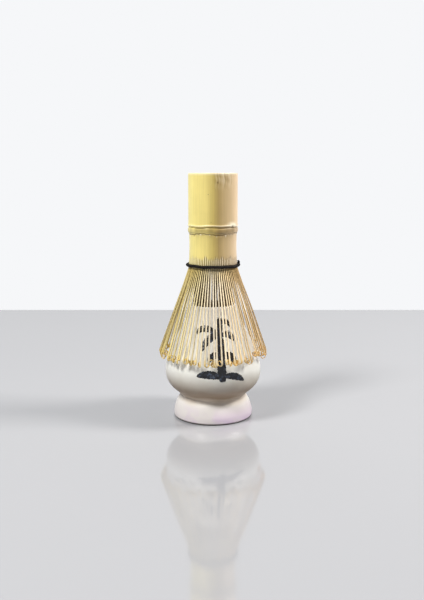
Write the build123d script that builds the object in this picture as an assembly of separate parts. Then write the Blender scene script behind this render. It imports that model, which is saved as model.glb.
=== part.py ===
"""A bamboo tea whisk seated on its glazed ceramic holder.

The whisk is one length of bamboo culm. Its lower end is split into 16 splints, and each splint into five
stout outer tines and five slim inner tines. A black thread is laced round the roots. The outer tines flare
into a skirt with curled tips, and the inner tines close into a bundle that hangs in the holder's neck.

Units are millimetres and degrees. Z is up, and the holder's foot stands on the plane Z = 0 at the origin.
Each shape is drawn as a half section, radius against height, in the XZ plane.
"""

import os
from math import asin, atan2, cos, degrees, hypot, radians, sin

from build123d import *

# Splitting of the culm
SPLINTS = 16
TINES_PER_SPLINT = 5
TINE_STEP = 360 / (SPLINTS * TINES_PER_SPLINT)

# Handle: the culm above the tines, with one node of the bamboo
WHISK_TOP = 142.0
CULM_END = 88.7  # where the splints leave the culm, just under the thread
HANDLE_RADIUS = 14.2
END_BEVEL = 0.5
NODE_TOP = 112.6  # the lip over the node's band
NODE_BOTTOM = 108.4
NODE_RADIUS = 14.5
WAIST_RADIUS = 13.65
ROOT_RADIUS = 14.0
UPPER_BORE_RADIUS = 9.8
LOWER_BORE_RADIUS = 11.4

# The thin wall that closes the culm at its node
DIAPHRAGM_TOP = 111.2
DIAPHRAGM_THICKNESS = 1.8
DIAPHRAGM_RADIUS = 9.3
DISH_RADIUS = 8.4
DISH_DEPTH = 0.7

# Outer tines: a shaft that flares from its root, and a curl at the tip that turns in and up
HINGE_HEIGHT = 88.6
OUTER_WIDTH = 0.84
OUTER_ROOT_INSIDE = 12.9
SHAFT_THICKNESS = 0.4
THINNED_AFTER = 11.0  # length below the root over which the shaft is thinned
CURL_RADIUS = 1.55
CURL_SWEEP = 235.0
SKIRT_RADIUS = 32.0  # the furthest out that a curl reaches
TIP_HEIGHT = 35.3  # the lowest point of a curl

# Inner tines: straight and slim, closing downwards
INNER_WIDTH = 0.5
INNER_ROOT_OUTSIDE = 12.55
INNER_ROOT_INSIDE = 11.7
INNER_TIP_OUTSIDE = 8.1
INNER_TIP_THICKNESS = 0.3
INNER_TIP_HEIGHT = 41.0

# The thread that is laced round the roots of the tines, and its knot
THREAD_HEIGHT = 89.8
THREAD_THICKNESS = 1.8
KNOT_RADIUS = 0.95
KNOT_AZIMUTH = -8.0
KNOT_GAP = 0.05  # from the culm

# Holder: foot, waist, bulb and neck
FOOT_RADIUS = 23.1
FOOT_FLAT_OUTSIDE = 22.2
FOOT_FLAT_INSIDE = 20.2
FOOT_ROUND = 1.4
WAIST_HEIGHT = 13.8
HOLDER_WAIST_RADIUS = 19.3
BULB_RADIUS = 28.0
BULB_HEIGHT = 28.0
RIM_HEIGHT = 66.8
RIM_OUTSIDE = 13.7
RIM_INSIDE = 11.1
CAVITY_FLOOR = 16.0
CAVITY_RADIUS = 24.9
CAVITY_WIDEST = 28.5
RECESS_TOP = 9.6


def at(radius, height):
    """A point of a half section."""
    return Vector(radius, 0, height)


def section(*edges):
    """The flat face that a closed chain of edges bounds."""
    return Face(Wire(list(edges)))


def turned(*edges):
    """The solid of revolution about Z of a half section."""
    return revolve(section(*edges), Axis.Z, 360)


def strip(width, *edges):
    """A half section made a bar of constant width, centred on the XZ plane."""
    return extrude(section(*edges), amount=width / 2, dir=(0, 1, 0), both=True)


def polyline(*points):
    """Straight edges from each point to the next."""
    return [Line(a, b) for a, b in zip(points, points[1:])]


def make_handle():
    """The culm: a straight grip, the band of the node between two grooves, and a waist above the tines."""
    lip_side = at(HANDLE_RADIUS, NODE_TOP + 1.6)
    lip = at(NODE_RADIUS, NODE_TOP)
    upper_groove = at(HANDLE_RADIUS - 0.1, NODE_TOP - 0.8)
    band_top = at(NODE_RADIUS, NODE_TOP - 1.5)
    band_foot = at(NODE_RADIUS - 0.1, NODE_BOTTOM + 0.5)
    lower_groove = at(WAIST_RADIUS + 0.25, NODE_BOTTOM)
    waist = at(WAIST_RADIUS, 101.5)
    root = at(ROOT_RADIUS, THREAD_HEIGHT + 0.6)
    root_end = at(ROOT_RADIUS, CULM_END)
    ledge = DIAPHRAGM_TOP - DIAPHRAGM_THICKNESS
    top_outside = at(HANDLE_RADIUS - END_BEVEL, WHISK_TOP)
    outside = [
        Line(top_outside, at(HANDLE_RADIUS, WHISK_TOP - END_BEVEL)),
        Line(at(HANDLE_RADIUS, WHISK_TOP - END_BEVEL), lip_side),
        Spline(lip_side, lip, tangents=[(0, 0, -1), (0.3, 0, -1)]),
        *polyline(lip, upper_groove, band_top, band_foot, lower_groove),
        Spline(lower_groove, waist, root, tangents=[(-0.1, 0, -1), (0, 0, -1)]),
        Line(root, root_end),
    ]
    inside = polyline(
        root_end,
        at(LOWER_BORE_RADIUS, CULM_END),
        at(LOWER_BORE_RADIUS, ledge),
        at(DIAPHRAGM_RADIUS, ledge),
        at(DIAPHRAGM_RADIUS, DIAPHRAGM_TOP),
        at(UPPER_BORE_RADIUS, DIAPHRAGM_TOP),
        at(UPPER_BORE_RADIUS, WHISK_TOP - END_BEVEL),
        at(UPPER_BORE_RADIUS + END_BEVEL, WHISK_TOP),
        top_outside,
    )
    return turned(*outside, *inside)


def make_diaphragm():
    """A disc that fills the bore at the node, with a shallow round dish in its top."""
    disc = Cylinder(DIAPHRAGM_RADIUS, DIAPHRAGM_THICKNESS)
    ball_radius = (DISH_RADIUS**2 + DISH_DEPTH**2) / (2 * DISH_DEPTH)
    ball = Pos(Z=DIAPHRAGM_THICKNESS / 2 - DISH_DEPTH + ball_radius) * Sphere(ball_radius)
    return Pos(Z=DIAPHRAGM_TOP - DIAPHRAGM_THICKNESS / 2) * (disc - ball)


def make_outer_tine():
    """One outer tine, flaring in the XZ plane towards +X.

    The shaft's middle line runs from the root and touches the curl's circle on its outer side.
    """
    outer_curl = CURL_RADIUS + SHAFT_THICKNESS / 2
    inner_curl = CURL_RADIUS - SHAFT_THICKNESS / 2
    centre = at(SKIRT_RADIUS - outer_curl, TIP_HEIGHT + outer_curl)
    root_middle = (OUTER_ROOT_INSIDE + ROOT_RADIUS) / 2
    out, down = centre.X - root_middle, HINGE_HEIGHT - centre.Z
    flare = degrees(atan2(out, down) + asin(CURL_RADIUS / hypot(out, down)))

    def on_curl(radius, swept):
        """A point of the curl, swept degrees past the end of the shaft, clockwise when seen along +Y."""
        angle = radians(flare - swept)
        return centre + Vector(radius * cos(angle), 0, radius * sin(angle))

    def curl(radius):
        return ThreePointArc(on_curl(radius, 0), on_curl(radius, CURL_SWEEP / 2), on_curl(radius, CURL_SWEEP))

    along = Vector(sin(radians(flare)), 0, -cos(radians(flare)))
    inner_side = on_curl(inner_curl, 0)
    shaft_length = (inner_side.Z - HINGE_HEIGHT) / along.Z
    thinned = inner_side - along * (shaft_length - THINNED_AFTER)
    root_outside = at(ROOT_RADIUS, HINGE_HEIGHT)
    root_inside = at(OUTER_ROOT_INSIDE, HINGE_HEIGHT)
    return strip(
        OUTER_WIDTH,
        Line(root_outside, on_curl(outer_curl, 0)),
        curl(outer_curl),
        Line(on_curl(outer_curl, CURL_SWEEP), on_curl(inner_curl, CURL_SWEEP)),
        curl(inner_curl),
        Line(inner_side, thinned),
        Line(thinned, root_inside),
        Line(root_inside, root_outside),
    )


def make_inner_tine():
    """One inner tine, a straight taper that leans in towards the axis."""
    root_outside = at(INNER_ROOT_OUTSIDE, CULM_END)
    return strip(
        INNER_WIDTH,
        *polyline(
            root_outside,
            at(INNER_TIP_OUTSIDE, INNER_TIP_HEIGHT),
            at(INNER_TIP_OUTSIDE - INNER_TIP_THICKNESS, INNER_TIP_HEIGHT),
            at(INNER_ROOT_INSIDE, CULM_END),
            root_outside,
        ),
    )


def splint_of(tine, number, shift=0.0):
    """The tines of one splint: copies of a tine, side by side, with splint 0 centred on +X.

    A shift of half a step puts the inner tines behind the gaps between the outer ones.
    """
    middle = (TINES_PER_SPLINT - 1) / 2
    places = [number * TINES_PER_SPLINT + i - middle + shift for i in range(TINES_PER_SPLINT)]
    return Compound([tine.rotate(Axis.Z, place * TINE_STEP) for place in places])


def make_thread():
    """The laced thread as one ring of round-cornered section that hugs the culm."""
    half = THREAD_THICKNESS / 2
    inside = ROOT_RADIUS
    low, high = THREAD_HEIGHT - half, THREAD_HEIGHT + half
    outermost = at(inside + THREAD_THICKNESS, THREAD_HEIGHT)
    return turned(
        Line(at(inside, low), at(inside + half, low)),
        ThreePointArc(at(inside + half, low), outermost, at(inside + half, high)),
        Line(at(inside + half, high), at(inside, high)),
        Line(at(inside, high), at(inside, low)),
    )


def make_knot():
    """The knot that ends the thread: a ball that sits on the ring and rises over its edge."""
    place = Pos(ROOT_RADIUS + KNOT_RADIUS + KNOT_GAP, 0, THREAD_HEIGHT + 0.8 * THREAD_THICKNESS)
    ball = Rot(Z=KNOT_AZIMUTH) * place * Sphere(KNOT_RADIUS)
    return ball - make_thread()


def make_holder():
    """The ceramic holder: a flared foot, a tight waist, a round bulb and a neck that holds the inner tines."""
    foot_outside = at(FOOT_FLAT_OUTSIDE, 0)
    foot_inside = at(FOOT_FLAT_INSIDE, 0)
    foot_side = at(FOOT_RADIUS, FOOT_ROUND)
    waist = at(HOLDER_WAIST_RADIUS, WAIST_HEIGHT)
    rim_outside = at(RIM_OUTSIDE, RIM_HEIGHT - 1.4)
    rim_inside = at(RIM_INSIDE, RIM_HEIGHT - 1.4)
    rim_top = at((RIM_OUTSIDE + RIM_INSIDE) / 2, RIM_HEIGHT)
    up, level = (0, 0, 1), (-1, 0, 0)
    outside = [
        Spline(foot_outside, foot_side, tangents=[(1, 0, 0), up]),
        Spline(foot_side, at(22.5, 6.0), at(20.9, 10.2), waist, tangents=[up, (-0.1, 0, 1)]),
        Spline(
            waist,
            at(23.4, 17.3),
            at(26.8, 21.8),
            at(BULB_RADIUS, BULB_HEIGHT),
            at(25.9, 37.5),
            at(22.7, 45.0),
            at(18.3, 54.0),
            at(15.2, 60.5),
            rim_outside,
            tangents=[(0.7, 0, 1), (-0.12, 0, 1)],
        ),
        ThreePointArc(rim_outside, rim_top, rim_inside),
    ]
    inside = [
        Spline(
            rim_inside,
            at(12.4, 59.6),
            at(15.6, 52.6),
            at(19.9, 43.6),
            at(23.5, 35.4),
            at(CAVITY_RADIUS, CAVITY_WIDEST),
            at(20.5, 19.0),
            at(12.0, CAVITY_FLOOR + 0.4),
            at(0, CAVITY_FLOOR),
            tangents=[(0.12, 0, -1), level],
        ),
        Line(at(0, CAVITY_FLOOR), at(0, RECESS_TOP)),
        Spline(
            at(0, RECESS_TOP),
            at(12.0, RECESS_TOP - 1.0),
            at(17.8, 4.6),
            foot_inside,
            tangents=[(1, 0, 0), (0.6, 0, -1)],
        ),
        Line(foot_inside, foot_outside),
    ]
    return turned(*outside, *inside)


def write(name, shape):
    export_step(shape, f"parts/{name}.step")


os.makedirs("parts", exist_ok=True)
write("holder", make_holder())
write("handle", make_handle())
write("node_diaphragm", make_diaphragm())
write("binding_thread", make_thread())
write("thread_knot", make_knot())
outer_tine, inner_tine = make_outer_tine(), make_inner_tine()
for splint in range(SPLINTS):
    write(f"outer_tines_{splint + 1:02d}", splint_of(outer_tine, splint))
    write(f"inner_tines_{splint + 1:02d}", splint_of(inner_tine, splint, shift=0.5))
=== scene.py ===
# %% [markdown]
# # A bamboo tea whisk on its ceramic holder
# The real whisk is one length of bamboo, split into fine tines and laced with black thread. It sits on a
# glazed ceramic holder that keeps the curve of its tines. The CAD frame gives every size and every body that
# moves; this lesson builds the looks round it. All lengths below are written in millimetres and turned to
# metres in one place, when a mesh is made.

# %% Load the frame
import math

import bmesh
import bpy
import numpy as np
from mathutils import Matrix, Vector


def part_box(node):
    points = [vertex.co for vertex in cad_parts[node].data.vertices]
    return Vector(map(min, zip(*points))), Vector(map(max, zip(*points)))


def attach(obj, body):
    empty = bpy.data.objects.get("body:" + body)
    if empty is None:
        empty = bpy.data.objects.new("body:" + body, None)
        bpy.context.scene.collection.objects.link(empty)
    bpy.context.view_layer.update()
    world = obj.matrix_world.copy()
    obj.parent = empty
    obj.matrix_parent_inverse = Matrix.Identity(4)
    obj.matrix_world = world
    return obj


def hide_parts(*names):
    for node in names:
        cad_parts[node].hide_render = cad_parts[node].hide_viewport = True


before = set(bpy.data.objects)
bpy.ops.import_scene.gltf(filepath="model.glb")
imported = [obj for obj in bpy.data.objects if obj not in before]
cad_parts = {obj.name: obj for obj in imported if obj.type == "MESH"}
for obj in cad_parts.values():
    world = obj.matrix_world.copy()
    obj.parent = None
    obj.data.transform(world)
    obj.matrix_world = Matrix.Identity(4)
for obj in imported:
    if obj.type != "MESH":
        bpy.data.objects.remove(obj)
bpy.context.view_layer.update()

# %% [markdown]
# ## Sizes from the frame
# Every piece is placed from the boxes of the CAD nodes, so the looks always fit the solids they stand for.
# A node's box is its lowest and highest corner. For a part that goes all the way round the axis, its widest
# radius is half the width of its box.

# %% Sizes from the frame
MM = 0.001


def low_high(node):
    """The lowest and highest height of a CAD node, in millimetres."""
    low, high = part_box(node)
    return low.z / MM, high.z / MM


def widest(node):
    """Half the width of a CAD node's box along X, in millimetres."""
    low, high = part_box(node)
    return (high.x - low.x) / 2 / MM


CULM_END, WHISK_TOP = low_high("handle")
_, RIM_HEIGHT = low_high("holder")
THREAD_LOW, THREAD_HIGH = low_high("binding_thread")
TIP_HEIGHT, HINGE_HEIGHT = low_high("outer_tines_01")
INNER_TIP_HEIGHT, _ = low_high("inner_tines_01")
SKIRT_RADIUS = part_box("outer_tines_01")[1].x / MM
NODE_RADIUS = widest("handle")
THREAD_RADIUS = widest("binding_thread")
SPLINTS = sum(name.startswith("outer_tines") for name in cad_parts)
TINES_PER_SPLINT = 5
TINES = SPLINTS * TINES_PER_SPLINT
TINE_STEP = 2 * math.pi / TINES
print("whisk", round(WHISK_TOP - TIP_HEIGHT, 1), "mm long,", TINES, "outer tines, skirt radius", SKIRT_RADIUS)

# %% [markdown]
# ## From a grid of points to a mesh
# Tines, strokes, thread, culm and holder are all one kind of surface: rings of points carried along a path.
# A grid holds such rings as rows, and its columns go round each ring. One function turns a stack of grids
# into one mesh, closes its ends and makes its faces point outwards, and another hands it to the frame.

# %% Mesh from grids
def ring_faces(rows, columns, loop):
    """Four-cornered faces between each ring and the next; loop also joins the last ring to the first."""
    upper, column = np.meshgrid(np.arange(rows if loop else rows - 1), np.arange(columns), indexing="ij")
    lower, after = (upper + 1) % rows, (column + 1) % columns
    corners = [upper * columns + column, upper * columns + after, lower * columns + after, lower * columns + column]
    return np.stack(corners, axis=-1).reshape(-1, 4)


def volume_of(points, faces):
    """The volume inside the faces: the sum of the tetrahedra that two halves of each face make with 0."""
    a, b, c, d = (points[faces[:, k]] for k in range(4))
    return np.sum(np.cross(a, b) * c + np.cross(a, c) * d) / 6


def make_mesh(name, grids, loop=False, tags=None, crease=50):
    """One mesh from grids of shape (parts, rows, columns, 3) in mm. Tags are numbers for each point."""
    parts, rows, columns = grids.shape[:3]
    points = grids.reshape(-1, 3) * MM
    one = ring_faces(rows, columns, loop)
    starts = np.arange(parts) * rows * columns
    faces = (one[None] + starts[:, None, None]).reshape(-1, 4)
    outwards = volume_of(points, faces) > 0
    ends = []
    if not loop:
        ring = np.arange(columns)
        first, last = starts[:, None] + ring[::-1], starts[:, None] + (rows - 1) * columns + ring
        ends = first.tolist() + last.tolist()
    mesh = bpy.data.meshes.new(name)
    mesh.from_pydata(points.tolist(), [], faces.tolist() + ends)
    for tag, values in (tags or {}).items():
        layer = mesh.attributes.new(tag, "FLOAT", "POINT")
        layer.data.foreach_set("value", np.broadcast_to(values, grids.shape[:3]).astype(np.float32).ravel())
    if not outwards:
        mesh.flip_normals()
    mesh.polygons.foreach_set("use_smooth", np.ones(len(mesh.polygons), bool))
    mesh.set_sharp_from_angle(angle=math.radians(crease))
    return mesh


def close_poles(mesh):
    """Merges the points of a ring that has shrunk to nothing, so the middle of a lathed shape is closed."""
    work = bmesh.new()
    work.from_mesh(mesh)
    bmesh.ops.remove_doubles(work, verts=work.verts, dist=1e-7)
    bmesh.ops.dissolve_degenerate(work, edges=work.edges, dist=1e-7)
    work.to_mesh(mesh)
    work.free()


def show(mesh, body, slot, material, *nodes):
    """Puts the mesh in the scene, riding on a body, with its finish and the CAD nodes that it stands for."""
    piece = bpy.data.objects.new(mesh.name, mesh)
    bpy.context.scene.collection.objects.link(piece)
    mesh.materials.append(material)
    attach(piece, body)
    if nodes:
        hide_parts(*nodes)
    return piece


def lathe(radii, heights, columns, shift=0.0):
    """A surface of revolution as one grid: radius and height for each row, turned round Z."""
    angle = np.linspace(0, 2 * np.pi, columns, endpoint=False) + shift
    radii = np.broadcast_to(np.asarray(radii, float).reshape(len(heights), -1), (len(heights), columns))
    heights = np.broadcast_to(np.asarray(heights, float)[:, None], radii.shape)
    return np.stack([radii * np.cos(angle), radii * np.sin(angle), heights], axis=-1)[None]


def spline(points, count):
    """A natural cubic curve through the points, spaced by chord: the bend is zero at both ends."""
    points = np.asarray(points, float)
    at = np.r_[0, np.cumsum(np.hypot(*np.diff(points, axis=0).T))]
    gap = np.diff(at)
    system = np.eye(len(points))
    right = np.zeros_like(points)
    for k in range(1, len(points) - 1):
        system[k, k - 1:k + 2] = gap[k - 1], 2 * (gap[k - 1] + gap[k]), gap[k]
        right[k] = 6 * ((points[k + 1] - points[k]) / gap[k] - (points[k] - points[k - 1]) / gap[k - 1])
    bend = np.linalg.solve(system, right)
    t = np.linspace(0, at[-1], count)
    k = np.clip(np.searchsorted(at, t, side="right") - 1, 0, len(gap) - 1)
    h, a, b = gap[k][:, None], (at[k + 1] - t)[:, None], (t - at[k])[:, None]
    ends = (points[k] / h - bend[k] * h / 6) * a + (points[k + 1] / h - bend[k + 1] * h / 6) * b
    return ends + (bend[k] * a**3 + bend[k + 1] * b**3) / (6 * h)


def smooth(x, low, high):
    """0 below low, 1 above high, and a soft S between them."""
    t = np.clip((x - low) / (high - low), 0, 1)
    return t * t * (3 - 2 * t)


# %% [markdown]
# ## Writing materials
# Colours are written as the hex codes a painter would pick on screen, and one function turns them to the
# linear values that the renderer works in. One more function adds a shader node with its settings and links,
# so each finish below reads as a short recipe.

# %% Material helpers
def linear(code):
    """An sRGB hex colour as linear red, green, blue and alpha: each channel goes through the sRGB curve."""
    channels = np.array([int(code[k:k + 2], 16) for k in (1, 3, 5)]) / 255
    curve = np.where(channels <= 0.04045, channels / 12.92, ((channels + 0.055) / 1.055) ** 2.4)
    return (*curve.tolist(), 1.0)


def add(tree, kind, inputs=None, stops=None, **settings):
    """Adds a node, sets what it is, and fills its inputs with values or with links from other nodes."""
    made = tree.nodes.new(kind)
    for name, value in settings.items():
        setattr(made, name, value)
    for key, value in (inputs or {}).items():
        if isinstance(value, bpy.types.NodeSocket):
            tree.links.new(value, made.inputs[key])
        else:
            made.inputs[key].default_value = value
    for k, (place, code) in enumerate(stops or []):
        element = made.color_ramp.elements[k] if k < 2 else made.color_ramp.elements.new(place)
        element.position, element.color = place, linear(code)
    return made


def new_finish(name):
    """A fresh material with a Principled shader. Returns the material, its node tree and the shader."""
    material = bpy.data.materials.new(name)
    material.use_nodes = True
    return material, material.node_tree, material.node_tree.nodes["Principled BSDF"]


def per_mm(size):
    """The scale that makes one cell of a pattern this many millimetres wide on Object coordinates."""
    return 1 / (size * MM)


# %% [markdown]
# ## Bamboo skin
# The culm keeps its own waxy skin. It was boiled, sun-bleached and dried, which leaves a satin straw yellow
# that is greener on one side and tawny on the other. Long fibres run up the culm about every 0.4 mm. The
# grooves of the node, the pit beside its bud and the cuts between tines are darkened as painted shade, the lip,
# the bud and the top edge get pale painted highlights, and the skin is darker just below the node. The side that
# a point is on comes from its direction from the axis, and the grooves come from a tag that the mesh carries.
# Part of the change from side to side is shading painted into the skin, so for other lighting the stops of the
# ramp are brought together.

# %% Bamboo skin
def side_of(tree):
    """Where a point lies from left to right round the axis: 0 on the left, 1 on the right."""
    place = add(tree, "ShaderNodeTexCoord").outputs["Object"]
    flat = add(tree, "ShaderNodeVectorMath", {0: place, 1: (1, 1, 0)}, operation="MULTIPLY")
    unit = add(tree, "ShaderNodeVectorMath", {0: flat.outputs[0]}, operation="NORMALIZE")
    split = add(tree, "ShaderNodeSeparateXYZ", {0: unit.outputs[0]})
    return place, add(tree, "ShaderNodeMapRange", {0: split.outputs["X"], 1: -1.0, 2: 1.0}).outputs[0]


def bamboo_skin():
    material, tree, shader = new_finish("bamboo_skin_bleached")
    place, side = side_of(tree)
    along = add(tree, "ShaderNodeMapping", {"Vector": place, "Scale": (1, 1, 0.03)}).outputs[0]
    fibre = add(tree, "ShaderNodeTexNoise", {"Vector": along, "Scale": per_mm(0.8), "Detail": 4.0}).outputs[0]
    broad = add(tree, "ShaderNodeTexNoise", {"Vector": along, "Scale": per_mm(6.0), "Detail": 2.0}).outputs[0]
    cloud = add(tree, "ShaderNodeTexNoise", {"Vector": place, "Scale": per_mm(14.0), "Detail": 3.0}).outputs[0]
    wander = add(tree, "ShaderNodeMapRange", {0: broad, 3: -0.09, 4: 0.09})
    turned = add(tree, "ShaderNodeMath", {0: side, 1: wander.outputs[0]}, operation="ADD", use_clamp=True)
    tone = add(tree, "ShaderNodeValToRGB", {0: turned.outputs[0]}, stops=[
        (0.0, "#F6E892"), (1.0, "#EFD3AC"), (0.34, "#EFDC86"), (0.53, "#D0B969"), (0.62, "#B2985E"),
        (0.82, "#D6BC8E"),
    ]).outputs[0]
    streak = add(tree, "ShaderNodeMapRange", {0: fibre, 1: 0.3, 2: 0.75, 3: 0.93, 4: 1.05}).outputs[0]
    patch = add(tree, "ShaderNodeMapRange", {0: cloud, 1: 0.3, 2: 0.7, 3: 0.94, 4: 1.04}).outputs[0]
    shade = add(tree, "ShaderNodeMath", {0: streak, 1: patch}, operation="MULTIPLY").outputs[0]
    grained = add(tree, "ShaderNodeVectorMath", {0: tone, "Scale": shade}, operation="SCALE").outputs[0]
    speck = add(tree, "ShaderNodeTexVoronoi", {"Vector": place, "Scale": per_mm(5.5)}).outputs["Distance"]
    fleck = add(tree, "ShaderNodeMapRange", {0: speck, 1: 0.035, 2: 0.06, 3: 0.55, 4: 0.0}).outputs[0]
    flecked = add(tree, "ShaderNodeMix", {0: fleck, 6: grained, 7: linear("#6E5A2C")}, data_type="RGBA").outputs[2]
    # The stain tag brings real stains and painted shade in the grooves, cuts and pit; the scar tag brings pale
    # marks and painted highlights.
    stain_and_shade = add(tree, "ShaderNodeAttribute", attribute_name="stain_and_shade").outputs["Fac"]
    stained_and_shaded = add(tree, "ShaderNodeMix", {0: stain_and_shade, 6: flecked, 7: linear("#6A5226")}, data_type="RGBA").outputs[2]
    pale = add(tree, "ShaderNodeAttribute", attribute_name="scar_and_highlight").outputs["Fac"]
    scarred_and_highlit = add(tree, "ShaderNodeMix", {0: pale, 6: stained_and_shaded, 7: linear("#FBF3DA")}, data_type="RGBA").outputs[2]
    bump = add(tree, "ShaderNodeBump", {"Height": fibre, "Strength": 0.25, "Distance": 0.04 * MM}).outputs[0]
    rough = add(tree, "ShaderNodeMapRange", {0: fibre, 3: 0.36, 4: 0.52}).outputs[0]
    for socket, value in {"Base Color": scarred_and_highlit, "Roughness": rough, "Normal": bump}.items():
        tree.links.new(value, shader.inputs[socket])
    shader.inputs["Coat Weight"].default_value = 0.12
    shader.inputs["Coat Roughness"].default_value = 0.3
    return material


BAMBOO_SKIN = bamboo_skin()
print("made", BAMBOO_SKIN.name)

# %% [markdown]
# ## The culm
# The handle is a bamboo culm: a nearly round tube with a node. At the node a thin lip stands over a dark
# groove, then comes a raised band, and then a second groove with a scalloped edge where the old sheath grew.
# Below the node the wall narrows a little, and just over the thread 80 fine cuts begin, one between each two
# tines. A lathe gives the round, and three small formulas add the waves of the node, the scallops and the
# cuts. Columns are placed close together at each cut, so a narrow cut needs few faces.

# %% The culm
HANDLE_RADIUS = NODE_RADIUS - 0.3
NODE_LIP = 112.6
NODE_FOOT = 108.0
BORE_RADIUS = 9.8
SHELF_RADIUS = 9.3
SHELF_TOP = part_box("node_diaphragm")[1].z / MM
SHELF_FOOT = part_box("node_diaphragm")[0].z / MM
LOWER_BORE_RADIUS = 11.4
CUT_TOP = 95.6


def waves(angle, seed, counts, size):
    """A closed wavy line round the culm: a sum of sines with whole counts and seeded phases."""
    phases = np.random.default_rng(seed).uniform(0, 2 * np.pi, len(counts))
    return size * sum(np.sin(n * angle + p) for n, p in zip(counts, phases)) / len(counts)


def culm_outside(height, angle):
    """Radius of the culm and its stain and scar tags, for every height and angle.

    The round tube narrows below the node. Bell curves in height add the lip and the band and cut the two
    grooves, and each bell's height is moved by a wavy line. The cuts are narrow dips that fade at their tops.
    The stain tag holds real stains and painted shade in the grooves, the pit and the cuts; the scar tag holds
    real pale marks and painted highlights on the lip, the bud and the top edge.
    """
    upper, lower = HANDLE_RADIUS, 13.75
    tube = lower + (upper - lower) * smooth(height, NODE_FOOT - 0.6, NODE_FOOT + 1.0)
    tube = tube - 0.15 * np.exp(-((height - 101) / 5) ** 2) + 0.25 * smooth(-height, -95, -90.5)
    lip = NODE_LIP + waves(angle, 1, (1, 3, 7), 0.35)
    foot = NODE_FOOT + waves(angle, 2, (1, 3, 5), 0.8) + waves(angle, 3, (11, 19, 31), 0.32)
    middle = (lip + foot) / 2 - 0.3
    bud = np.exp(-((angle - 5.62) / 0.22) ** 2) * np.exp(-((height - lip - 0.7) / 1.15) ** 2)
    pit = np.exp(-((angle - 5.57) / 0.05) ** 2) * np.exp(-((height - lip + 0.2) / 0.5) ** 2)
    radius = tube + 0.3 * np.exp(-((height - lip) / 0.5) ** 2) + 0.45 * bud - 0.5 * pit
    radius = radius - 0.46 * np.exp(-((height - lip + 1.0) / 0.28) ** 2)
    radius = radius + 0.22 * np.exp(-((height - middle) / 1.1) ** 4)
    radius = radius - 0.28 * np.exp(-((height - foot) / 0.24) ** 2)
    knobs = 0.5 + 0.5 * waves(angle, 4, (29, 37, 47), 1.0)
    rough_edge = np.exp(-((height - foot + 0.55) / 0.3) ** 2)
    radius = radius + 0.16 * knobs * rough_edge
    oval = waves(angle, 5, (2, 3), 0.12) * smooth(height, CULM_END + 2, CULM_END + 12)
    place = angle / TINE_STEP
    nearest = np.abs(place - np.floor(place) - 0.5)
    cut_end = CUT_TOP + waves(angle, 6, (11, 17, 27), 1.3)
    below = smooth(cut_end - height, 0, 2.4)
    cut = np.select([nearest < 0.03, nearest < 0.14], [1.0, 0.8]) * below
    handled = np.exp(-(((angle - 5.15) / 0.42) ** 4)) * smooth(height, 131, 139.5)
    streak = waves(angle + 0.02 * np.sin(0.9 * height), 8, (13, 23, 41, 61), 1.5)
    streak = streak + 0.3 * np.sin(1.3 * height + 9 * angle)
    fleck = np.exp(-(((angle - 4.89) / 0.035) ** 2) - ((height - 136.8) / 0.5) ** 2)
    rim = smooth(height, WHISK_TOP - 1.4, WHISK_TOP - 0.6)
    patchy = 0.75 + 0.25 * waves(angle, 7, (2, 5, 13, 19), 1.6)
    # Painted shade: the groove under the lip, the pit and the groove at the foot of the node are darkened.
    stain_and_shade = 0.9 * patchy * np.exp(-((height - lip + 1.0) / 0.3) ** 2) + 0.85 * pit
    stain_and_shade = stain_and_shade + (1.45 - patchy) * np.exp(-((height - foot) / 0.34) ** 2)
    # Darker just below the node, fading downwards.
    darker_below_node = np.clip(patchy - 0.45, 0, 1) * np.exp((height - foot) / 1.8) * (height < foot)
    # The raised band is darker in its own colour; the darkening in the cuts is painted shade.
    stain_and_shade = stain_and_shade + 0.6 * patchy * np.exp(-((height - middle) / 1.4) ** 4) + 0.8 * cut + 0.8 * darker_below_node
    stain_and_shade = stain_and_shade + 0.32 * handled * np.clip(streak, 0, 1) + 0.85 * fleck
    # Painted highlights: the pale patch on the bud, the pale line on the lip and the pale band at the top edge.
    scar_and_highlight = 0.85 * rough_edge * smooth(knobs, 0.6, 0.85) + 1.1 * bud * (1 - pit) + 0.4 * rim
    scar_and_highlight = scar_and_highlight + 0.5 * np.exp(-((height - lip - 0.1) / 0.3) ** 2) + 0.9 * below * smooth(nearest, 0.2, 0.45)
    scar_and_highlight = scar_and_highlight + 0.28 * handled * np.clip(0.3 - streak, 0, 1)
    return radius + oval - 0.6 * cut, np.clip(stain_and_shade, 0, 1), np.clip(scar_and_highlight, 0, 1)


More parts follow.
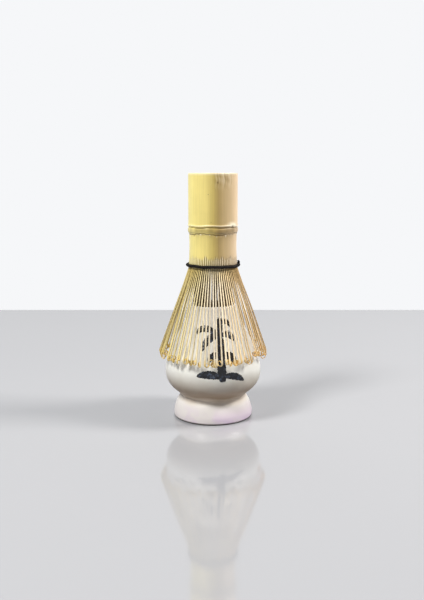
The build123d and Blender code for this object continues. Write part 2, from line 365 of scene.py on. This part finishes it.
def make_culm():
    bevel = 0.5
    spread = np.array([0.0, 0.27, 0.38, 0.5, 0.62, 0.73])
    angle = ((np.arange(TINES)[:, None] + spread) * TINE_STEP).ravel()
    heights = np.r_[
        np.linspace(WHISK_TOP - bevel, 114.4, 46)[:-1], np.linspace(114.4, 107.2, 62)[:-1],
        np.linspace(107.2, 98.5, 9)[:-1], np.linspace(98.5, CULM_END, 18),
    ]
    radii, stain_and_shade, scar_and_highlight = culm_outside(heights[:, None], angle[None])
    turn = np.linspace(0, np.pi / 2, 4)[1:]
    edge_radii = radii[0] - bevel * (1 - np.cos(turn))[:, None]
    edge_heights = WHISK_TOP - bevel + bevel * np.sin(turn)
    bore = [
        (LOWER_BORE_RADIUS, CULM_END), (LOWER_BORE_RADIUS, SHELF_FOOT), (SHELF_RADIUS, SHELF_FOOT),
        (SHELF_RADIUS, SHELF_TOP), (BORE_RADIUS, SHELF_TOP), (BORE_RADIUS, WHISK_TOP - bevel),
        (BORE_RADIUS + bevel, WHISK_TOP), (BORE_RADIUS + 1.5, WHISK_TOP), (HANDLE_RADIUS - 1.4, WHISK_TOP),
    ]
    bore_radii = np.repeat([[r] for r, _ in bore], len(angle), axis=1)
    all_radii = np.vstack([bore_radii, edge_radii[::-1], radii])
    all_heights = np.r_[[z for _, z in bore], edge_heights[::-1], heights]
    bare = np.zeros_like(bore_radii)
    around = np.stack(np.broadcast_arrays(
        all_radii * np.cos(angle), all_radii * np.sin(angle), all_heights[:, None]), axis=-1)[None]
    tags = {
        "stain_and_shade": np.vstack([bare, stain_and_shade[[0, 0, 0]], stain_and_shade])[None],
        "scar_and_highlight": np.vstack([bare, scar_and_highlight[[0, 0, 0]], scar_and_highlight])[None],
    }
    mesh = make_mesh("culm", around, loop=True, tags=tags, crease=60)
    return show(mesh, "whisk", "bamboo_culm", BAMBOO_SKIN, "handle")


culm = make_culm()
print("culm", len(culm.data.polygons), "faces, slits begin at", CUT_TOP, "mm")

# %% [markdown]
# ## The disc at the node
# Every bamboo node has a thin woody wall across the tube. Seen from above, down the open end, it is a pale,
# slightly dished disc with a rim. It is a lathed outline whose two ends meet the axis, so the poles are merged.

# %% The disc at the node
def bamboo_pith():
    material, tree, shader = new_finish("bamboo_pith_dry")
    place = add(tree, "ShaderNodeTexCoord").outputs["Object"]
    coarse = add(tree, "ShaderNodeTexNoise", {"Vector": place, "Scale": per_mm(3.0), "Detail": 5.0}).outputs[0]
    tone = add(tree, "ShaderNodeValToRGB", {0: coarse}, stops=[(0.3, "#C9A96B"), (0.7, "#E8D3A0")]).outputs[0]
    bump = add(tree, "ShaderNodeBump", {"Height": coarse, "Strength": 0.5, "Distance": 0.15 * MM}).outputs[0]
    tree.links.new(tone, shader.inputs["Base Color"])
    tree.links.new(bump, shader.inputs["Normal"])
    shader.inputs["Roughness"].default_value = 0.8
    return material


def make_disc():
    dish = np.linspace(0, 1, 14)
    radii = np.r_[8.4 * dish, SHELF_RADIUS - 0.05, SHELF_RADIUS, np.linspace(SHELF_RADIUS, 0, 8)]
    top = np.r_[SHELF_TOP - 0.7 * (1 - dish**2), SHELF_TOP, SHELF_TOP - 0.05, np.full(8, SHELF_FOOT)]
    mesh = make_mesh("node_disc", lathe(radii, top, 72))
    close_poles(mesh)
    return show(mesh, "whisk", "bamboo_pith", bamboo_pith(), "node_diaphragm")


disc = make_disc()
print("disc", len(disc.data.polygons), "faces")

# %% [markdown]
# ## Split bamboo
# A tine is shaved on three sides and keeps the skin on its outer face, so it is paler than the culm and dry,
# with a faint sheen. It is darker towards the root, and the tips were soaked and curled over heat, which turns
# them golden. The cut flanks are browner than the face, and the dark line they draw down each side is partly
# painted shade between the tines. Each tine has its own tone, and the mesh carries that tone, the distance along
# the tine and the flanks as tags. Part of the cast from left to right is painted light and shade, as on the skin,
# and the inner tines' much darker colours are painted shade.

# %% Split bamboo
def bamboo_tine(name, root, shaft, tip, flank_and_shade):
    material, tree, shader = new_finish(name)
    place, side = side_of(tree)
    along, tone, edge = (
        add(tree, "ShaderNodeAttribute", attribute_name=tag).outputs["Fac"] for tag in ("along", "tone", "edge")
    )
    length = add(tree, "ShaderNodeValToRGB", {0: along}, stops=[
        (0.0, root), (1.0, tip), (0.16, shaft), (0.84, shaft), (0.92, tip),
    ]).outputs[0]
    # Part of this cast from left to right is painted light and shade: palest at the front, deeper on the two sides.
    side_tint_and_light = add(tree, "ShaderNodeValToRGB", {0: side}, stops=[
        (0.0, "#ECDE96"), (1.0, "#EFCD96"), (0.2, "#F3E8B4"), (0.5, "#FFF9F0"), (0.8, "#FBE8C6"),
    ]).outputs[0]
    coloured = add(tree, "ShaderNodeMix", {0: 1.0, 6: length, 7: side_tint_and_light}, data_type="RGBA", blend_type="MULTIPLY")
    stretched = add(tree, "ShaderNodeMapping", {"Vector": place, "Scale": (1, 1, 0.04)}).outputs[0]
    fibre = add(tree, "ShaderNodeTexNoise", {"Vector": stretched, "Scale": per_mm(0.5), "Detail": 3.0}).outputs[0]
    streak = add(tree, "ShaderNodeMapRange", {0: fibre, 1: 0.3, 2: 0.7, 3: 0.86, 4: 1.08}).outputs[0]
    own = add(tree, "ShaderNodeMapRange", {0: tone, 3: 0.78, 4: 1.14}).outputs[0]
    shade = add(tree, "ShaderNodeMath", {0: streak, 1: own}, operation="MULTIPLY").outputs[0]
    varied = add(
        tree, "ShaderNodeVectorMath", {0: coloured.outputs[2], "Scale": shade}, operation="SCALE"
    ).outputs[0]
    # The flanks are browner in their own colour and darkened further as painted shade between the tines.
    cut = add(tree, "ShaderNodeMix", {0: edge, 6: varied, 7: linear(flank_and_shade)}, data_type="RGBA").outputs[2]
    bump = add(tree, "ShaderNodeBump", {"Height": fibre, "Strength": 0.3, "Distance": 0.03 * MM}).outputs[0]
    rough = add(tree, "ShaderNodeMapRange", {0: fibre, 3: 0.42, 4: 0.6}).outputs[0]
    for socket, value in {"Base Color": cut, "Roughness": rough, "Normal": bump}.items():
        tree.links.new(value, shader.inputs[socket])
    shader.inputs["Sheen Weight"].default_value = 0.1
    return material


OUTER_BAMBOO = bamboo_tine("bamboo_split_outer", "#F2E5B8", "#FFF9E8", "#F8E09A", "#86693A")
# The inner tines are the same bamboo as the outer; their much darker colours are painted shade.
INNER_BAMBOO_SHADED = bamboo_tine("bamboo_split_inner_shaded", "#32250F", "#5C4820", "#967A3C", "#2A1E0A")
print("made", OUTER_BAMBOO.name, "and", INNER_BAMBOO_SHADED.name)

# %% [markdown]
# ## Rings along many paths at once
# Eighty tines differ only in their numbers, so each number is an array with one value a tine, and numpy bends
# them all together. A path is given in the upright plane through the axis, as radius, height and a sideways
# lean. The ring round it is a rounded rectangle: a circle whose sine and cosine are raised to a power below one.

# %% Tines from paths
RING = 10


def rounded(columns, power=0.45):
    """A rounded rectangle of half-width 1 and half-thickness 1, as sideways and outward shares."""
    turn = (np.arange(columns) + 0.5) * 2 * np.pi / columns
    sideways, outward = np.cos(turn), np.sin(turn)
    return np.sign(sideways) * np.abs(sideways) ** power, np.sign(outward) * np.abs(outward) ** power


def tine_grids(radius, height, lean, azimuth, half_width, half_thickness):
    """Grids for many tines. Every input has the shape (tines, rows).

    The path's slope in the upright plane gives the outward normal of each ring, and the width lies across it.
    """
    slope_r, slope_z = np.gradient(radius, axis=1), np.gradient(height, axis=1)
    size = np.hypot(slope_r, slope_z)
    normal_r, normal_z = -slope_z / size, slope_r / size
    sideways, outward = rounded(RING)
    r = radius[..., None] + (normal_r * half_thickness)[..., None] * outward
    z = height[..., None] + (normal_z * half_thickness)[..., None] * outward
    across = lean[..., None] + half_width[..., None] * sideways
    cosine, sine = np.cos(azimuth)[..., None], np.sin(azimuth)[..., None]
    return np.stack([r * cosine - across * sine, r * sine + across * cosine, z], axis=-1)


def tine_tags(along, tone):
    """The tags of some tines. The flanks are the two sides of each ring, and they fade on the curl."""
    sideways, outward = rounded(RING)
    # The edge tag marks the flanks; their darkening is partly their own colour, partly painted shade between tines.
    edge = np.where(np.abs(outward) < 0.7, 0.85, 0.25 * np.abs(sideways))
    fade = 1 - 0.6 * smooth(along, 0.8, 0.88)
    return {"along": along[..., None], "tone": tone[..., None], "edge": edge * fade[..., None]}


# %% [markdown]
# ## The outer tines
# Each outer tine leaves the culm under the thread, flares out in a nearly straight line and ends in a curl
# that turns in and up. No two curls are alike: the maker's thumb gives each its own size, turn and lean. The
# shaft touches the curl's circle, so the flare of a tine follows from where its curl is. The root is as thick
# as the wall of the culm and is thinned over the first centimetre.

# %% The outer tines
ROOT_RADIUS = 13.45
ROOT_HALF = 0.55
SHAFT_HALF = 0.2
THINNED_AFTER = 11.0


def outer_paths(seed):
    """Radius, height, lean, azimuth, half-width, half-thickness, share of length and tone of each tine's rows.

    The shaft runs from the root to the curl's circle. The curl then winds in a spiral whose radius shrinks by
    a third. Its plane is turned to one side by a yaw angle, so each step inwards is also a step sideways. The
    first and last tines of a splint turn towards its middle, clear of the splints beside it.
    """
    draw = np.random.default_rng(seed)
    one = (TINES, 1)
    curl = draw.uniform(1.45, 2.0, one)
    sweep = np.radians(draw.uniform(260, 400, one))
    centre_r = SKIRT_RADIUS - draw.beta(1.2, 2.5, one) * 1.4 - curl - SHAFT_HALF
    centre_z = TIP_HEIGHT + curl + SHAFT_HALF + draw.beta(1.1, 1.8, one) * 4.4
    out, down = centre_r - ROOT_RADIUS, HINGE_HEIGHT - centre_z
    flare = np.arctan2(out, down) + np.arcsin(curl / np.hypot(out, down))
    touch_r, touch_z = centre_r + curl * np.cos(flare), centre_z + curl * np.sin(flare)
    u = np.linspace(0, 1, 15)[None, :-1]
    bow = draw.normal(0.25, 0.22, one) * np.sin(np.pi * u) ** 2
    shaft_r = ROOT_RADIUS + (touch_r - ROOT_RADIUS) * u + bow * np.cos(flare)
    shaft_z = HINGE_HEIGHT + (touch_z - HINGE_HEIGHT) * u + bow * np.sin(flare)
    v = np.linspace(0, 1, 20)[None]
    winding = flare - sweep * v
    spiral = curl * (1 - 0.33 * v)
    curl_r, curl_z = centre_r + spiral * np.cos(winding), centre_z + spiral * np.sin(winding)
    turn = draw.choice([-1, 1], (SPLINTS, TINES_PER_SPLINT))
    turn[:, 0], turn[:, -1] = 1, -1
    yaw = turn.reshape(one) * np.radians(draw.uniform(26, 58, one))
    inwards = touch_r - curl_r
    curl_r, side = touch_r - inwards * np.cos(yaw), inwards * np.sin(yaw)
    radius, height = np.hstack([shaft_r, curl_r]), np.hstack([shaft_z, curl_z])
    lean = np.hstack([np.zeros_like(shaft_r), side])
    step = np.hypot(np.diff(radius, axis=1), np.diff(height, axis=1))
    distance = np.hstack([np.zeros(one), np.cumsum(step, axis=1)])
    share = distance / distance[:, -1:]
    stray = draw.normal(0, 0.15, one) * TINE_STEP * share**1.4
    azimuth = ((np.arange(TINES) - TINES_PER_SPLINT // 2) * TINE_STEP)[:, None] + stray
    half_width = np.interp(distance, [0, 6, 40, 54, 64], [0.3, 0.33, 0.42, 0.5, 0.44])
    half_width = half_width * draw.uniform(0.9, 1.06, one)
    half_thickness = np.interp(distance, [0, THINNED_AFTER, 52, 62], [ROOT_HALF, SHAFT_HALF, SHAFT_HALF, 0.16])
    tone = np.broadcast_to(draw.uniform(0, 1, one), radius.shape)
    return radius, height, lean, azimuth, half_width, half_thickness, share, tone


*outer_shape, outer_along, outer_tone = outer_paths(seed=11)
outer_grids = tine_grids(*outer_shape)
for splint in range(SPLINTS):
    own = slice(splint * TINES_PER_SPLINT, (splint + 1) * TINES_PER_SPLINT)
    tags = tine_tags(outer_along[own], outer_tone[own])
    mesh = make_mesh(f"outer_tines_shaved_{splint + 1:02d}", outer_grids[own], tags=tags)
    show(mesh, f"outer_splint_{splint + 1:02d}", "bamboo_tine", OUTER_BAMBOO, f"outer_tines_{splint + 1:02d}")
print("outer tines reach radius", round(float(np.hypot(*outer_grids[..., :2].reshape(-1, 2).T).max()), 2), "mm")

# %% [markdown]
# ## The inner tines
# The inner tines are finer, stay almost straight and close into a bundle that hangs through the holder's
# neck. They stand behind the gaps between the outer tines, because the maker parts each splint's tines in turn,
# one out and one in. They are made the same way, from straight paths that bend in a little at their ends.

# %% The inner tines
INNER_ROOT = 12.12
INNER_TIP = 7.95


def inner_paths(seed):
    """As outer_paths, for straight tapers: the path closes evenly, bows a little, and turns in at its tip."""
    draw = np.random.default_rng(seed)
    one = (TINES, 1)
    share = np.broadcast_to(np.linspace(0, 1, 12)[None], (TINES, 12))
    drop = CULM_END - INNER_TIP_HEIGHT - draw.uniform(0, 1.2, one)
    radius = INNER_ROOT + (INNER_TIP - INNER_ROOT) * share - 0.25 * smooth(share, 0.8, 1.0)
    radius = radius + draw.normal(0, 0.1, one) * np.sin(np.pi * share)
    height = CULM_END - drop * share
    azimuth = (np.arange(TINES) - TINES_PER_SPLINT // 2 + 0.5)[:, None] * TINE_STEP
    azimuth = azimuth + draw.normal(0, 0.3, one) * TINE_STEP * share**0.6
    half_width = np.interp(share, [0, 1], [0.36, 0.27])
    half_thickness = np.interp(share, [0, 0.25, 1], [0.42, 0.26, 0.14])
    tone = np.broadcast_to(draw.uniform(0, 1, one), share.shape)
    return radius, height, np.zeros_like(radius), azimuth, half_width, half_thickness, share, tone


*inner_shape, inner_along, inner_tone = inner_paths(seed=12)
inner_grids = tine_grids(*inner_shape)
for splint in range(SPLINTS):
    own = slice(splint * TINES_PER_SPLINT, (splint + 1) * TINES_PER_SPLINT)
    tags = tine_tags(inner_along[own], inner_tone[own])
    mesh = make_mesh(f"inner_tines_shaved_{splint + 1:02d}", inner_grids[own], tags=tags)
    show(mesh, "whisk", "bamboo_tine", INNER_BAMBOO_SHADED, f"inner_tines_{splint + 1:02d}")
print("inner tines end at", round(float(inner_grids[..., 2].min()), 1), "mm")

# %% [markdown]
# ## Black thread
# The thread is cotton of three plies, dyed black and waxed. Two turns of it are twined about each other, once
# round every two tines, which gives the row its knuckles. A strand is a tube along a winding path, and its
# ring has three lobes that turn along the path, one for each ply.

# %% Black thread
def thread_finish():
    material, tree, shader = new_finish("cotton_thread_black")
    place = add(tree, "ShaderNodeTexCoord").outputs["Object"]
    fluff = add(tree, "ShaderNodeTexNoise", {"Vector": place, "Scale": per_mm(0.25), "Detail": 3.0}).outputs[0]
    tone = add(tree, "ShaderNodeValToRGB", {0: fluff}, stops=[(0.3, "#080605"), (0.75, "#1C1613")]).outputs[0]
    bump = add(tree, "ShaderNodeBump", {"Height": fluff, "Strength": 0.6, "Distance": 0.05 * MM}).outputs[0]
    tree.links.new(tone, shader.inputs["Base Color"])
    tree.links.new(bump, shader.inputs["Normal"])
    shader.inputs["Roughness"].default_value = 0.7
    shader.inputs["Specular IOR Level"].default_value = 0.2
    return material


BLACK_THREAD = thread_finish()
STRAND = 0.52
WIND = 0.48


def strand_grid(path, loop, twist):
    """A three-ply strand along a path of points in mm.

    Tangents come from neighbouring points, and each ring starts from the direction away from the axis. The
    ring's radius swells three times round, and the swelling turns by twist along the path.
    """
    before, after = np.roll(path, 1, axis=0), np.roll(path, -1, axis=0)
    if not loop:
        before[0], after[-1] = path[0], path[-1]
    tangent = after - before
    tangent /= np.linalg.norm(tangent, axis=1)[:, None]
    away = path * (1, 1, 0) + (0, 0, 1e-3)
    across = np.cross(tangent, away)
    across /= np.linalg.norm(across, axis=1)[:, None]
    out = np.cross(across, tangent)
    turn = np.arange(12) * np.pi / 6
    share = np.linspace(0, 1, len(path), endpoint=not loop)[:, None]
    lobes = STRAND * (0.9 + 0.12 * np.cos(3 * (turn[None] - twist * share)))
    ring = out[:, None] * (lobes * np.cos(turn))[..., None] + across[:, None] * (lobes * np.sin(turn))[..., None]
    return (path[:, None] + ring)[None]


def make_thread():
    """Two strands that wind about the middle of the row, half a turn apart, one full turn to two tines."""
    middle_radius = THREAD_RADIUS - STRAND - WIND - 0.02
    middle_height = (THREAD_LOW + THREAD_HIGH) / 2
    around = np.linspace(0, 2 * np.pi, TINES * 10, endpoint=False)
    sway = waves(around, 9, (2, 5, 9), 0.22)
    grids = []
    for start in (0, np.pi):
        wind = around * TINES / 2 + start
        radius = middle_radius + WIND * np.cos(wind)
        height = middle_height + sway + WIND * np.sin(wind)
        path = np.stack([radius * np.cos(around), radius * np.sin(around), height], axis=-1)
        grids.append(strand_grid(path, loop=True, twist=2 * np.pi * 20))
    mesh = make_mesh("thread_twined", np.concatenate(grids), loop=True)
    return show(mesh, "whisk", "black_thread", BLACK_THREAD, "binding_thread")


thread = make_thread()
print("thread", len(thread.data.polygons), "faces")

# %% [markdown]
# ## The knot
# The thread ends in an overhand knot pulled tight against the row, with a cut end that stands up. An overhand
# knot that is closed on itself is a trefoil, whose path is a short formula of sines.

# %% The knot
def make_knot():
    low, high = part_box("thread_knot")
    centre = np.array((low + high) / 2 / MM)
    t = np.linspace(0, 2 * np.pi, 96, endpoint=False)
    trefoil = np.stack([np.sin(3 * t), np.sin(t) + 2 * np.sin(2 * t), np.cos(t) - 2 * np.cos(2 * t)], axis=-1)
    path = centre + trefoil * (0.2, 0.17, 0.17)
    t = np.linspace(0, 1, 24)
    tail = centre + np.stack([-0.4 * t, 0.2 + 1.3 * t, 0.4 + 0.9 * t - 0.6 * t**2], axis=-1)
    knot = make_mesh("knot_tied", strand_grid(path, loop=True, twist=2 * np.pi * 2), loop=True)
    end = make_mesh("knot_tail", strand_grid(tail, loop=False, twist=2 * np.pi * 0.5))
    show(knot, "whisk", "black_thread", BLACK_THREAD, "thread_knot")
    return show(end, "whisk", "black_thread", BLACK_THREAD)


make_knot()

# %% [markdown]
# ## White glaze
# The holder is slip-cast white stoneware under a clear, glossy glaze. The glaze is very slightly lilac where
# it lies thick on the foot, and it has a faint orange-peel from the kiln. The dark brown band under the bulb is
# painted shade. The lowest millimetre is wiped clean before the firing, so bare brown clay shows there, and its
# dark tone is made deeper as painted contact shadow. The colour follows the height, with a soft cloud of noise
# over it.

# %% White glaze
def white_glaze():
    material, tree, shader = new_finish("stoneware_white_glaze")
    place = add(tree, "ShaderNodeTexCoord").outputs["Object"]
    height = add(tree, "ShaderNodeSeparateXYZ", {0: place}).outputs["Z"]
    cloud = add(tree, "ShaderNodeTexNoise", {"Vector": place, "Scale": per_mm(16.0), "Detail": 3.0}).outputs[0]
    drift = add(tree, "ShaderNodeMapRange", {0: cloud, 3: -2.5 * MM, 4: 2.5 * MM}).outputs[0]
    moved = add(tree, "ShaderNodeMath", {0: height, 1: drift}, operation="ADD").outputs[0]
    share = add(tree, "ShaderNodeMapRange", {0: moved, 1: 0.0, 2: RIM_HEIGHT * MM}).outputs[0]
    # Stops 0.2 to 0.375 paint shade as a dark brown band under the bulb.
    tone = add(tree, "ShaderNodeValToRGB", {0: share}, stops=[
        (0.0, "#E6E2DE"), (1.0, "#F0EEEA"), (0.15, "#EAE7E3"), (0.2, "#D9CBBB"), (0.24, "#8F7A64"),
        (0.29, "#9B8A77"), (0.375, "#C4BFB5"), (0.46, "#ECEDE9"),
    ]).outputs[0]
    low = add(tree, "ShaderNodeMapRange", {0: share, 1: 0.03, 2: 0.17, 3: 1.0, 4: 0.0}).outputs[0]
    streak = add(tree, "ShaderNodeMapRange", {0: cloud, 1: 0.42, 2: 0.56, 3: 0.15, 4: 0.9}).outputs[0]
    lilac = add(tree, "ShaderNodeMath", {0: low, 1: streak}, operation="MULTIPLY").outputs[0]
    tone = add(tree, "ShaderNodeMix", {0: lilac, 6: tone, 7: linear("#D9C6DF")}, data_type="RGBA").outputs[2]
    # Bare clay on the foot ring, made darker as painted contact shadow.
    wiped_ring_and_contact_shadow = add(tree, "ShaderNodeMapRange", {0: height, 1: 0.6 * MM, 2: 1.4 * MM, 3: 0.95, 4: 0.0}).outputs[0]
    tone = add(tree, "ShaderNodeMix", {0: wiped_ring_and_contact_shadow, 6: tone, 7: linear("#3C342D")}, data_type="RGBA").outputs[2]
    peel = add(tree, "ShaderNodeTexNoise", {"Vector": place, "Scale": per_mm(1.2), "Detail": 2.0}).outputs[0]
    bump = add(tree, "ShaderNodeBump", {"Height": peel, "Strength": 0.08, "Distance": 0.05 * MM}).outputs[0]
    tree.links.new(tone, shader.inputs["Base Color"])
    tree.links.new(bump, shader.inputs["Normal"])
    shader.inputs["Roughness"].default_value = 0.38
    shader.inputs["Specular IOR Level"].default_value = 0.35
    shader.inputs["Coat Weight"].default_value = 0.06
    shader.inputs["Coat Roughness"].default_value = 0.2
    return material


WHITE_GLAZE = white_glaze()

# %% [markdown]
# ## The holder
# From the foot up, the holder has a rounded foot, a tight waist, a round bulb and a cone that closes to the
# neck. Inside it is hollow, with a wall of about 3 mm, and the foot is hollow underneath. The outline is a few
# natural curves through the points that fix it, and a small round joins the foot to the bulb at the waist.

# %% The holder
FOOT = [(22.2, 0.0), (22.9, 0.5), (23.1, 1.4)]
FOOT_SIDE = [(23.1, 1.4), (23.05, 3.4), (22.5, 6.0), (20.9, 10.2), (19.6, 12.6), (19.35, 13.5)]
BULB = [
    (19.35, 13.5), (20.2, 14.5), (23.4, 17.3), (26.8, 21.8), (28.0, 28.0), (25.9, 37.5), (22.7, 45.0),
    (18.3, 54.0), (15.2, 60.5), (13.7, 65.4),
]
RIM = [(13.7, 65.4), (13.25, 66.45), (12.4, RIM_HEIGHT), (11.55, 66.45), (11.1, 65.4)]
CAVITY = [
    (11.1, 65.4), (12.4, 59.6), (15.6, 52.6), (19.9, 43.6), (23.5, 35.4), (24.9, 28.5), (20.5, 19.0),
    (12.0, 16.4), (0.0, 16.0),
]
RECESS = [(0.0, 9.6), (12.0, 8.6), (17.8, 4.6), (20.2, 0.0)]


def holder_outline():
    stretches = [(FOOT, 8), (FOOT_SIDE, 34), (BULB, 110), (RIM, 18), (CAVITY, 60), (RECESS, 26)]
    return np.vstack([spline(points, count)[:-1 if points is not RECESS else None] for points, count in stretches])


def bulb_radius(height):
    """The outside radius of the bulb at a height, read from its curve."""
    line = spline(BULB, 200)
    return np.interp(height, line[:, 1], line[:, 0])


def make_holder():
    outline = holder_outline()
    mesh = make_mesh("holder_glazed", lathe(np.maximum(outline[:, 0], 0), outline[:, 1], 180), loop=True)
    close_poles(mesh)
    return show(mesh, "holder", "glazed_stoneware", WHITE_GLAZE, "holder")


holder = make_holder()
print("holder", len(holder.data.polygons), "faces")

# %% [markdown]
# ## The brushed motif
# A sprig of bamboo is brushed on the front in thick black enamel that stands a little proud of the glaze and
# pools to a blue-grey at its thickest. Each stroke is a curved line on the bulb with a width that swells and
# tapers as a brush does. Its ring is a low dome above the glaze and a shallow belly below it.

# %% The brushed motif
def ink_enamel():
    material, tree, shader = new_finish("ink_enamel_overglaze")
    place = add(tree, "ShaderNodeTexCoord").outputs["Object"]
    pool = add(tree, "ShaderNodeTexNoise", {"Vector": place, "Scale": per_mm(2.2), "Detail": 4.0}).outputs[0]
    tone = add(tree, "ShaderNodeValToRGB", {0: pool}, stops=[
        (0.35, "#0C0D12"), (0.7, "#4A5568"), (0.54, "#161922"),
    ]).outputs[0]
    bump = add(tree, "ShaderNodeBump", {"Height": pool, "Strength": 0.9, "Distance": 0.5 * MM}).outputs[0]
    tree.links.new(tone, shader.inputs["Base Color"])
    tree.links.new(bump, shader.inputs["Normal"])
    shader.inputs["Roughness"].default_value = 0.16
    shader.inputs["Specular IOR Level"].default_value = 0.35
    shader.inputs["Coat Weight"].default_value = 0.1
    return material


INK_ENAMEL = ink_enamel()
INK_HEIGHT = 0.22


def stroke_grid(number, start, bend, end, width, taper):
    """One brush stroke on the bulb; points are (mm round the bulb from its front, height in mm).

    The middle line is a quadratic Bezier curve. The half-width follows sin(pi u) to the power taper: a low
    power gives a blunt stem and a high one a pointed leaf. The brush's hairs leave each edge a little ragged,
    which is a sum of three seeded sines along the stroke, and the enamel is thickest where the brush rested.
    """
    u = np.linspace(0, 1, 56)[:, None]
    middle = (1 - u) ** 2 * start + 2 * u * (1 - u) * bend + u**2 * end
    direction = np.gradient(middle, axis=0)
    direction /= np.linalg.norm(direction, axis=1)[:, None]
    turn = np.arange(16) * np.pi / 8
    near, far = (waves(2 * np.pi * u, number + seed, (5, 11, 17), 0.14) for seed in (20, 60))
    ragged = 1 + np.where(np.cos(turn) > 0, near, far)
    half = width / 2 * np.sin(np.pi * np.clip(u, 0.004, 0.996)) ** taper * ragged
    across = np.stack([-direction[:, 1:], direction[:, :1]], axis=-1)
    place = middle[:, None] + across * (half * np.cos(turn))[..., None]
    rest = 0.75 + 0.35 * np.cos(np.pi * u) ** 2
    lift = np.where(np.sin(turn) > 0, INK_HEIGHT * rest, 0.12) * np.sin(turn) * np.minimum(1, 2 * half)
    radius = bulb_radius(place[..., 1])
    angle = place[..., 0] / radius
    radius = radius + lift
    return np.stack([radius * np.sin(angle), -radius * np.cos(angle), place[..., 1]], axis=-1)


STEM = [
    ((5.6, 27.2), (4.7, 34.0), (4.7, 40.4), 5.0), ((4.5, 41.0), (4.5, 46.0), (3.7, 51.2), 4.4),
    ((3.9, 51.8), (3.3, 56.0), (3.7, 61.0), 3.6),
]
LEAVES = [
    ((5.4, 29.2), (-2.0, 32.6), (-9.4, 30.0), 4.6), ((5.6, 30.0), (12.6, 31.4), (18.8, 26.6), 4.0),
    ((4.6, 40.6), (10.4, 43.0), (13.4, 36.4), 4.4), ((4.6, 40.4), (-1.0, 43.4), (-2.6, 37.4), 3.8),
    ((4.2, 51.4), (-2.6, 53.0), (-6.4, 43.4), 4.2), ((3.8, 52.0), (-6.0, 58.6), (-9.6, 52.2), 3.6),
    ((4.0, 51.4), (9.6, 54.4), (12.4, 48.4), 3.8), ((3.8, 57.6), (7.6, 61.0), (10.0, 56.0), 2.8),
]


def make_motif():
    strokes = [(*stroke, 0.16) for stroke in STEM] + [(*stroke, 0.55) for stroke in LEAVES]
    grids = [
        stroke_grid(number, np.array(start), np.array(bend), np.array(end), width, taper)
        for number, (start, bend, end, width, taper) in enumerate(strokes)
    ]
    mesh = make_mesh("sprig_motif", np.stack(grids), crease=70)
    return show(mesh, "holder", "ink_glaze", INK_ENAMEL)


motif = make_motif()
print("motif", len(STEM), "stems and", len(LEAVES), "leaves")

# %% [markdown]
# ## Floor, light and camera
# The object stands on a pale table with a soft shine, before a white room. Two square soft lights stand at the
# left and the right, the right one slightly weaker, and a large faint one hangs above. The room is a picture
# maker's room, not a real one: the camera and mirrors see white, while as a light it is dark on the near side.
# The camera looks slightly down from the height of the whisk's top.

# %% Floor, light and camera
def table_finish():
    material, tree, shader = new_finish("table_pale")
    shader.inputs["Base Color"].default_value = linear("#A8AAB0")
    shader.inputs["Roughness"].default_value = 0.07
    shader.inputs["IOR"].default_value = 1.75
    return material


def make_table(front=-2.0, back=0.344, half=2.5):
    mesh = bpy.data.meshes.new("table_top")
    mesh.from_pydata([(-half, front, 0), (half, front, 0), (half, back, 0), (-half, back, 0)], [], [(0, 1, 2, 3)])
    mesh.materials.append(table_finish())
    table = bpy.data.objects.new("table_top", mesh)
    bpy.context.scene.collection.objects.link(table)


def soft_light(name, place, aim, size, watts, colour):
    lamp = bpy.data.lights.new(name, "AREA")
    lamp.shape, lamp.size, lamp.energy = "SQUARE", size, watts
    lamp.color = linear(colour)[:3]
    light = bpy.data.objects.new(name, lamp)
    light.location = place
    towards = Vector(aim) - Vector(place)
    light.rotation_euler = towards.to_track_quat("-Z", "Y").to_euler()
    bpy.context.scene.collection.objects.link(light)


def room_light(seen, stops):
    """White where it is seen or mirrored. As a light its tone goes from the near side to the back."""
    world = bpy.data.worlds.new("white_room")
    world.use_nodes = True
    tree = world.node_tree
    background = tree.nodes["Background"]
    way = add(tree, "ShaderNodeSeparateXYZ", {0: add(tree, "ShaderNodeTexCoord").outputs["Generated"]}).outputs["Y"]
    share = add(tree, "ShaderNodeMapRange", {0: way, 1: -1.0, 2: 1.0}).outputs[0]
    light = add(tree, "ShaderNodeValToRGB", {0: share}, stops=stops).outputs[0]
    path = add(tree, "ShaderNodeLightPath").outputs
    looking = add(tree, "ShaderNodeMath", {0: path["Is Camera Ray"], 1: path["Is Glossy Ray"]}, operation="MAXIMUM")
    colour = add(tree, "ShaderNodeMix", {0: looking.outputs[0], 6: light, 7: linear(seen)}, data_type="RGBA")
    tree.links.new(colour.outputs[2], background.inputs["Color"])
    background.inputs["Strength"].default_value = 1.0
    bpy.context.scene.world = world


make_table()
middle = (0, 0, 0.07)
soft_light("left_softbox", (-0.48, -0.44, 0.84), middle, 0.24, 10.2, "#FFFCF6")
soft_light("right_softbox", (0.71, -0.03, 0.73), middle, 0.24, 9.2, "#FFFAF2")
soft_light("overhead", (0.0, 0.3, 1.1), middle, 0.9, 1.4, "#FFFFFF")
room_light("#F6F7F9", [(0.05, "#3A312B"), (0.94, "#F4F5F8"), (0.5, "#4C4F54"), (0.84, "#75787D")])

CAMERA_HEIGHT = WHISK_TOP * MM
CAMERA_DISTANCE = 0.432
CAMERA_DOWN = 9.61
lens = bpy.data.cameras.new("camera")
lens.lens, lens.sensor_width, lens.sensor_fit = 45.0, 36.0, "AUTO"
lens.clip_start, lens.clip_end = 0.01, 20.0
camera = bpy.data.objects.new("camera", lens)
camera.location = (-0.0006, -CAMERA_DISTANCE, CAMERA_HEIGHT)
camera.rotation_euler = (math.radians(90 - CAMERA_DOWN), 0, 0)
bpy.context.scene.collection.objects.link(camera)
bpy.context.scene.camera = camera
bpy.context.scene.view_settings.view_transform = "Standard"
